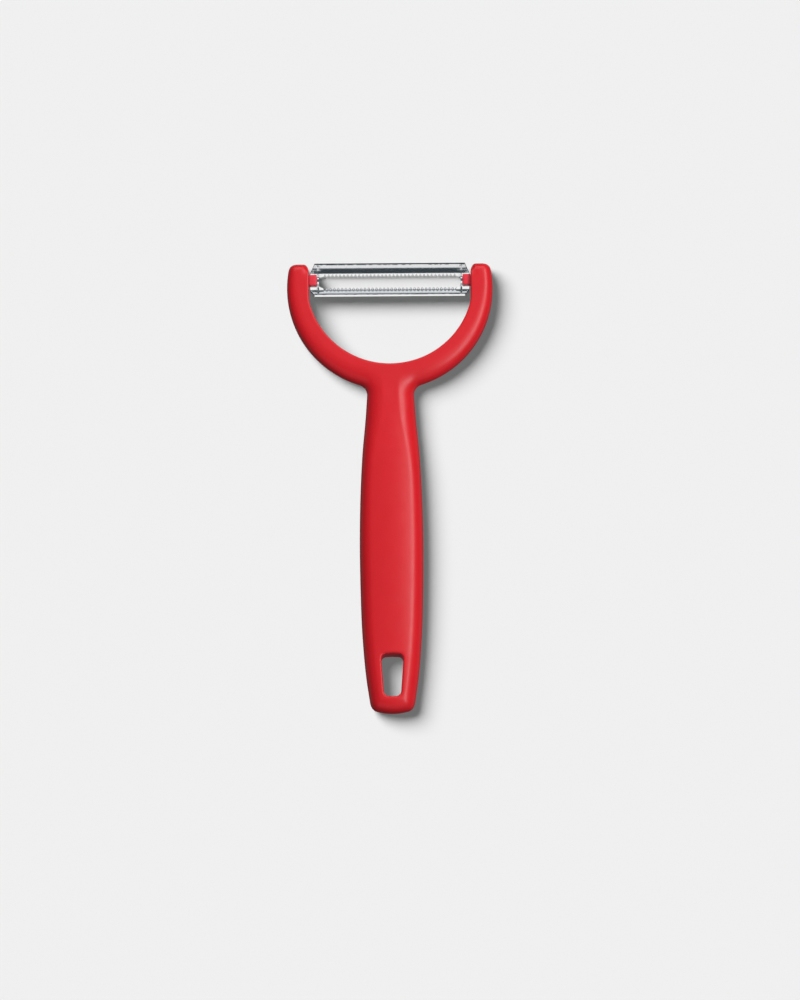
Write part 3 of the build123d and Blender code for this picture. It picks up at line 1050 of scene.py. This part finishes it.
# Brightness that shiny surfaces see, by the angle in degrees from straight up towards the tips
STUDIO_STRIPS = (
    (-180, 0.05),
    (-95, 0.06),
    (-82, 0.06),
    (-74, 1.00),
    (-32, 1.08),
    (-28.5, 0.12),
    (27, 0.12),
    (31, 1.00),
    (61, 1.05),
    (66, 0.04),
    (100, 0.04),
    (112, 0.80),
    (122.5, 0.80),
    (123.1, 0.04),
    (128.0, 0.04),
    (128.6, 0.80),
    (145, 0.80),
    (152, 0.05),
    (180, 0.05),
)
# How much bluer the darkest strips are than the bright ones, for red, green and blue
STRIP_TINT = (0.78, 1.02, 1.20)

# How far from the middle plane the strips fade into the sky
SIDE_FADE_START = 0.55
SIDE_FADE_END = 0.8

# The lamp for the floor's shadow, in degrees
SHADOW_POLAR = 42
SHADOW_AZIMUTH = 141.6
SHADOW_SOFTNESS = 40
# Soft lamps: polar angle and azimuth in degrees, width and height in metres, and brightness
# of the lamp's face
SOFT_LAMPS = (
    ("main lamp", 31, 8, 1.3, 0.36, 6.6),
    ("overhead lamp", 12, 90, 1.5, 1.50, 0.28),
    ("back lamp", 52, 95, 1.0, 0.60, 1.9),
)


class PeelerStage(bpy.types.PropertyGroup):
    """Floor, lamps and camera"""

    floor: colour("Floor", "Pale floor", PALE)
    lens: FloatProperty(name="Lens", description="Focal length in millimetres", default=530.0)
    tilt: user_angle("Tilt", "Camera, from straight down", 10)
    shadow: FloatProperty(name="Shadow", description="Lamp that casts the floor's shadow", default=3.53)
    soft: FloatProperty(name="Soft", description="Share of all the soft lamps' brightness", default=1.0)


def linked_collection(name, members, state):
    """A collection that light linking uses."""
    group = bpy.data.collections.new(name)
    for member in members:
        group.objects.link(member)
    for member in group.collection_objects:
        member.light_linking.link_state = state
    return group


def hang_lamp(name, kind, polar, azimuth, receivers):
    """A lamp on a hemisphere about the object, aimed at its middle, for chosen receivers."""
    data = bpy.data.lights.new(name, kind)
    lamp = bpy.data.objects.new(name, data)
    bpy.context.scene.collection.objects.link(lamp)
    polar, azimuth = radians(polar), radians(azimuth)
    outward = Vector((sin(polar) * cos(azimuth), sin(polar) * sin(azimuth), cos(polar)))
    facing = outward.to_track_quat("Z", "Y").to_matrix().to_4x4()
    lamp.matrix_world = Matrix.Translation(outward * LAMP_DISTANCE) @ facing
    lamp.light_linking.receiver_collection = receivers
    lamp.visible_camera = False
    return data


def add_lamps(s, floor, blade):
    """The lamp for the floor's shadow, and the soft lamps for all but the floor and the steel."""
    lit_floor = linked_collection("lit floor", [floor], "INCLUDE")
    sun = hang_lamp("shadow lamp", "SUN", SHADOW_POLAR, SHADOW_AZIMUTH, lit_floor)
    sun.energy = s.shadow
    sun.angle = radians(SHADOW_SOFTNESS)
    lit = linked_collection("lit by soft lamps", [floor, blade], "EXCLUDE")
    for name, polar, azimuth, width, height, bright in SOFT_LAMPS:
        lamp = hang_lamp(name, "AREA", polar, azimuth, lit)
        lamp.shape = "RECTANGLE"
        lamp.size = width
        lamp.size_y = height
        lamp.energy = 4 * width * height * bright * s.soft


def strip_ramp(tree, value, low, high, stops, tints):
    """Brightness by a value between low and high, with a tint in the dark."""
    spread = add_node(tree, "ShaderNodeMapRange", (("From Min", low), ("From Max", high)))
    tree.links.new(value, spread.inputs["Value"])
    ramp = tree.nodes.new("ShaderNodeValToRGB")
    elements = ramp.color_ramp.elements
    elements.remove(elements[1])
    for n, (at, bright) in enumerate(stops):
        place = (at - low) / (high - low)
        element = elements.new(place) if n else elements[0]
        element.position = place
        dark = 1 - min(bright, 1)
        element.color = (*[bright * (1 + (tint - 1) * dark) for tint in tints], 1)
    tree.links.new(spread.outputs["Result"], ramp.inputs["Fac"])
    return ramp.outputs["Color"]


def make_world():
    """A soft studio for the plastic, with bright and dark strips for the steel to reflect."""
    world = bpy.data.worlds.new("studio")
    bpy.context.scene.world = world
    world.use_nodes = True
    tree = world.node_tree
    background = tree.nodes["Background"]
    place = tree.nodes.new("ShaderNodeTexCoord")
    towards = tree.nodes.new("ShaderNodeSeparateXYZ")
    tree.links.new(place.outputs["Generated"], towards.inputs["Vector"])
    sky = strip_ramp(tree, towards.outputs["Z"], -1.0, 1.0, SKY_HEIGHTS, (1, 1, 1))
    turn = add_node(tree, "ShaderNodeMath", operation="ARCTAN2")
    tree.links.new(towards.outputs["Y"], turn.inputs[0])
    tree.links.new(towards.outputs["Z"], turn.inputs[1])
    angle = add_node(tree, "ShaderNodeMath", operation="DEGREES")
    tree.links.new(turn.outputs["Value"], angle.inputs[0])
    strips = strip_ramp(tree, angle.outputs["Value"], -180, 180, STUDIO_STRIPS, STRIP_TINT)

    # The strips fade towards the two sides, where their ends would meet
    side = add_node(tree, "ShaderNodeMath", operation="ABSOLUTE")
    tree.links.new(towards.outputs["X"], side.inputs[0])
    ends = (("From Min", SIDE_FADE_START), ("From Max", SIDE_FADE_END))
    fade = add_node(tree, "ShaderNodeMapRange", ends)
    tree.links.new(side.outputs["Value"], fade.inputs["Value"])
    rays = tree.nodes.new("ShaderNodeLightPath")
    seen = two_tones(tree, fade.outputs["Result"], strips, sky)
    seen = two_tones(tree, rays.outputs["Is Glossy Ray"], sky, seen)
    seen = two_tones(tree, rays.outputs["Is Camera Ray"], seen, PALE)
    tree.links.new(seen, background.inputs["Color"])
    background.inputs["Strength"].default_value = 1.0


def make_floor(floor_colour):
    """The plain pale floor."""
    bm = bmesh.new()
    bmesh.ops.create_grid(bm, x_segments=1, y_segments=1, size=FLOOR_SIZE)
    mesh = bpy.data.meshes.new("floor")
    bm.to_mesh(mesh)
    bm.free()
    floor = bpy.data.objects.new("floor", mesh)
    bpy.context.scene.collection.objects.link(floor)
    material = bpy.data.materials.new("pale floor")
    material.use_nodes = True
    shader = material.node_tree.nodes["Principled BSDF"]
    shader.inputs["Base Color"].default_value = (*floor_colour, 1)
    shader.inputs["Roughness"].default_value = 1.0
    shader.inputs["Specular IOR Level"].default_value = 0.0
    mesh.materials.append(material)
    # The floor neither reflects in the pieces nor lights them
    floor.visible_diffuse = False
    floor.visible_glossy = False
    return floor


class PEELER_OT_stage(bpy.types.Operator):
    """Make the pale floor, the soft lamps and the camera"""

    bl_idname = "peeler.stage"
    bl_label = "Stage"

    def execute(self, context):
        s = context.scene.peeler_stage
        scene = context.scene
        make_world()
        add_lamps(s, make_floor(s.floor), bpy.data.objects["toothed_blade"])
        lens = bpy.data.cameras.new("camera")
        lens.lens = s.lens
        lens.clip_start = 0.01
        camera = bpy.data.objects.new("camera", lens)
        scene.collection.objects.link(camera)
        turn = Matrix.Rotation(s.tilt, 4, "X") @ Matrix.Rotation(CAMERA_ROLL, 4, "Z")
        aim = CAMERA_AIM + Vector((0, SWIVEL.y, 0))
        camera.matrix_world = Matrix.Translation(aim + turn @ Vector((0, 0, CAMERA_DISTANCE))) @ turn
        scene.camera = camera
        scene.view_settings.view_transform = "Standard"
        return {"FINISHED"}


class PEELER_PT_parts(bpy.types.Panel):
    """Lists the peeler's pieces"""

    bl_label = "Peeler"
    bl_space_type = "VIEW_3D"
    bl_region_type = "UI"
    bl_category = "Peeler"

    def draw(self, context):
        for operator in ("peeler.handle", "peeler.studs", "peeler.blade", "peeler.stage"):
            self.layout.operator(operator)


PROPERTIES = {
    "peeler_handle": PeelerHandle,
    "peeler_blade": PeelerBlade,
    "peeler_studs": PeelerStuds,
    "peeler_stage": PeelerStage,
}
OPERATORS = (PEELER_OT_handle, PEELER_OT_blade, PEELER_OT_studs, PEELER_OT_stage)


def register():
    for cls in (*PROPERTIES.values(), *OPERATORS, PEELER_PT_parts):
        bpy.utils.register_class(cls)
    for name, group in PROPERTIES.items():
        setattr(bpy.types.Scene, name, PointerProperty(type=group))


def unregister():
    for name in PROPERTIES:
        delattr(bpy.types.Scene, name)
    for cls in (PEELER_PT_parts, *OPERATORS, *PROPERTIES.values()):
        bpy.utils.unregister_class(cls)


def main():
    """Build every piece and the stage."""
    register()
    bpy.ops.peeler.handle()
    bpy.ops.peeler.studs()
    bpy.ops.peeler.blade()
    bpy.ops.peeler.stage()


if __name__ == "__main__":
    main()
